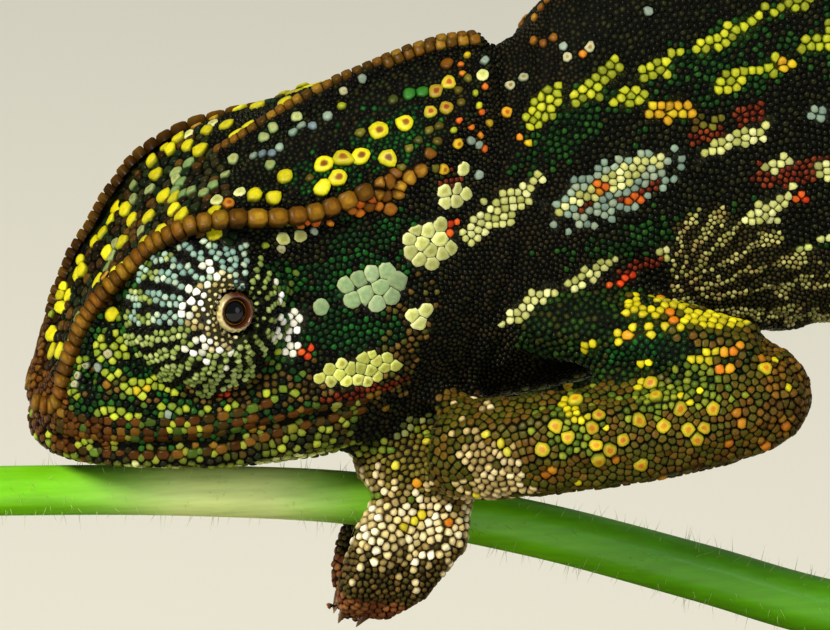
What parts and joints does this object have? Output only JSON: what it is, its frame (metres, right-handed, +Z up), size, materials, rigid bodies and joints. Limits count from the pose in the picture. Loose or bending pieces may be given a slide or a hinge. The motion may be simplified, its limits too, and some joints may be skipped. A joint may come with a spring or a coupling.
{
  "type": "chameleon model",
  "caption": "Life-size still model of a female carpet chameleon stepping along a cut stem, held over a flat base by two short rods.",
  "frame": {"origin": "middle of the stand base's underside", "axes": "+Z up, the animal faces -X along the stem, its left side towards -Y"},
  "size_m": [0.1437, 0.05, 0.06],
  "materials": {
    "skin": "dry granular scales, near black with yellow, green, rust and blue-white groups",
    "eye": "wet, glossy dark eye",
    "claw": "smooth brown horn",
    "stem": "fresh green plant stem with fine hairs",
    "base": "oiled dark hardwood",
    "rod": "fine brushed steel"
  },
  "bodies": {
    "root": {"eye_left": "eye", "eye_right": "eye", "eye_turret_left": "skin", "eye_turret_right": "skin", "front_left_forearm": "skin", "front_left_inner_toes": "skin", "front_left_outer_toes": "skin", "front_left_palm": "skin", "front_left_upper_arm": "skin", "front_right_forearm": "skin", "front_right_inner_toes": "skin", "front_right_outer_toes": "skin", "front_right_palm": "skin", "front_right_upper_arm": "skin", "head": "skin", "hind_left_inner_toes": "skin", "hind_left_outer_toes": "skin", "hind_left_palm": "skin", "hind_left_shin": "skin", "hind_left_thigh": "skin", "hind_right_inner_toes": "skin", "hind_right_outer_toes": "skin", "hind_right_palm": "skin", "hind_right_shin": "skin", "hind_right_thigh": "skin", "lower_jaw": "skin", "neck": "skin", "perch_stem": "stem", "stand_base": "base", "stand_rod_front": "rod", "stand_rod_rear": "rod", "tail_length_1": "skin", "tail_length_2": "skin", "tail_length_3": "skin", "tail_length_4": "skin", "tail_length_5": "skin", "tail_length_6": "skin", "trunk": "skin"}
  },
  "joints": []
}
